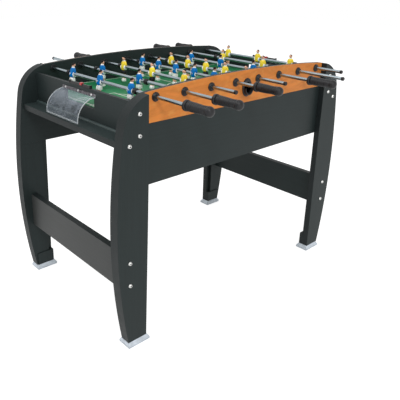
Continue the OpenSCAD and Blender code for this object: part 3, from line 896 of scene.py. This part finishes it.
        # The finishes of a kit stand in the order from SHIRT to SCREW
        shared = [white, skin, white, skin, hair, black, screw]
        kits = {"blue_players": [blue, white, *shared], "yellow_players": [yellow, black, *shared]}
        pattern = self.figure()
        for k in RODS:
            slot = "blue_players" if k in BLUE_RODS else "yellow_players"
            piece(f"rod_{k}_team", self.team(k, pattern, paint.width), kits[slot], f"rod_{k}",
                  [f"rod_{k}_players"], rounded=1, sharp=65)
        bpy.data.meshes.remove(pattern)
        return {"FINISHED"}


class FOOSBALL_OT_stage(bpy.types.Operator):
    """Make the floor, lamps, background and camera"""

    bl_idname = "foosball.stage"
    bl_label = "Stage"

    def floor(self, settings):
        """Paper that glows to the camera, and lights the table only by what it reflects."""
        shape = bmesh.new()
        bmesh.ops.create_grid(shape, x_segments=1, y_segments=1, size=12)
        mesh = bpy.data.meshes.new("studio_floor")
        shape.to_mesh(mesh)
        shape.free()
        paper = Finish("studio_paper", base_color=(0.5, 0.5, 0.5), roughness=0.9, emission_color=(1, 1, 1))
        paper.set("Emission Strength", paper.seen() * settings.glow)
        mesh.materials.append(paper.material)
        made = bpy.data.objects.new("studio_floor", mesh)
        bpy.context.scene.collection.objects.link(made)

    def surroundings(self, settings):
        """A white background that lights the table less than it shows."""
        world = bpy.data.worlds.new("studio_light")
        bpy.context.scene.world = world
        world.use_nodes = True
        nodes = Nodes(world.node_tree)
        background = nodes.tree.nodes["Background"].inputs
        nodes.plug(background["Color"], (1, 1, 1))
        nodes.plug(background["Strength"], nodes.seen() * (1 - settings.ambient) + settings.ambient)

    def lamp(self, name, place, aim, size, power):
        """A round soft lamp at a place, turned to what it lights."""
        light = bpy.data.lights.new(name, "AREA")
        light.shape, light.size, light.energy = "DISK", size, power
        made = bpy.data.objects.new(name, light)
        made.location = place
        made.rotation_euler = (Vector(aim) - Vector(place)).to_track_quat("-Z", "Y").to_euler()
        bpy.context.scene.collection.objects.link(made)

    def camera(self, settings):
        """The camera, turned by its azimuth, elevation and roll."""
        forward = Vector((sin(settings.azimuth) * cos(settings.elevation),
                          cos(settings.azimuth) * cos(settings.elevation), -sin(settings.elevation)))
        right = forward.cross(Vector((0, 0, 1))).normalized()
        up = right.cross(forward)
        turn = Matrix((right, up, -forward)).transposed() @ Matrix.Rotation(settings.roll, 3, "Z")
        lens = bpy.data.cameras.new("camera")
        lens.sensor_width, lens.lens = 36, settings.lens
        lens.shift_x, lens.shift_y = settings.shift
        lens.clip_end = 60
        made = bpy.data.objects.new("camera", lens)
        made.matrix_world = Matrix.Translation(settings.eye) @ turn.to_4x4()
        bpy.context.scene.collection.objects.link(made)
        return made

    def execute(self, context):
        settings = context.scene.foosball_stage
        power = settings.lamp_power
        self.floor(settings)
        self.surroundings(settings)
        self.lamp("main_lamp", (-1.7, -2.4, 3.1), (0, 0, 0.7), 0.9, power)
        self.lamp("top_lamp", (-1.5, 0.2, 3.2), (-0.2, 0, 0.7), 2.2, 0.8 * power)
        self.lamp("front_lamp", (-0.9, -3.6, 0.8), (0, 0, 0.4), 2.4, 0.45 * power)
        context.scene.camera = self.camera(settings)
        context.scene.view_settings.view_transform = "Standard"
        return {"FINISHED"}


class FOOSBALL_PT_panel(bpy.types.Panel):
    """Lists the table's pieces"""

    bl_label = "Foosball table"
    bl_space_type = "VIEW_3D"
    bl_region_type = "UI"
    bl_category = "Foosball"

    def draw(self, context):
        for operator in OPERATORS:
            self.layout.operator(operator.bl_idname)
        for name, group in SETTINGS.items():
            box = self.layout.box()
            box.label(text=group.__name__)
            for prop in group.__annotations__:
                box.prop(getattr(context.scene, name), prop)


SETTINGS = {
    "foosball_boards": BoardSettings,
    "foosball_prints": PrintSettings,
    "foosball_rods": RodSettings,
    "foosball_players": PlayerSettings,
    "foosball_hoods": HoodSettings,
    "foosball_stage": StageSettings,
}
OPERATORS = (
    FOOSBALL_OT_boards,
    FOOSBALL_OT_prints,
    FOOSBALL_OT_fittings,
    FOOSBALL_OT_hoods,
    FOOSBALL_OT_rods,
    FOOSBALL_OT_players,
    FOOSBALL_OT_stage,
)


def register():
    for group in (*SETTINGS.values(), *OPERATORS, FOOSBALL_PT_panel):
        bpy.utils.register_class(group)
    for name, group in SETTINGS.items():
        setattr(bpy.types.Scene, name, PointerProperty(type=group))


def unregister():
    for name in SETTINGS:
        delattr(bpy.types.Scene, name)
    for group in (*SETTINGS.values(), *OPERATORS, FOOSBALL_PT_panel):
        bpy.utils.unregister_class(group)


def main():
    register()
    bpy.ops.foosball.boards()
    bpy.ops.foosball.prints()
    bpy.ops.foosball.fittings()
    bpy.ops.foosball.hoods()
    bpy.ops.foosball.rods()
    bpy.ops.foosball.players()
    bpy.ops.foosball.stage()


if __name__ == "__main__":
    main()
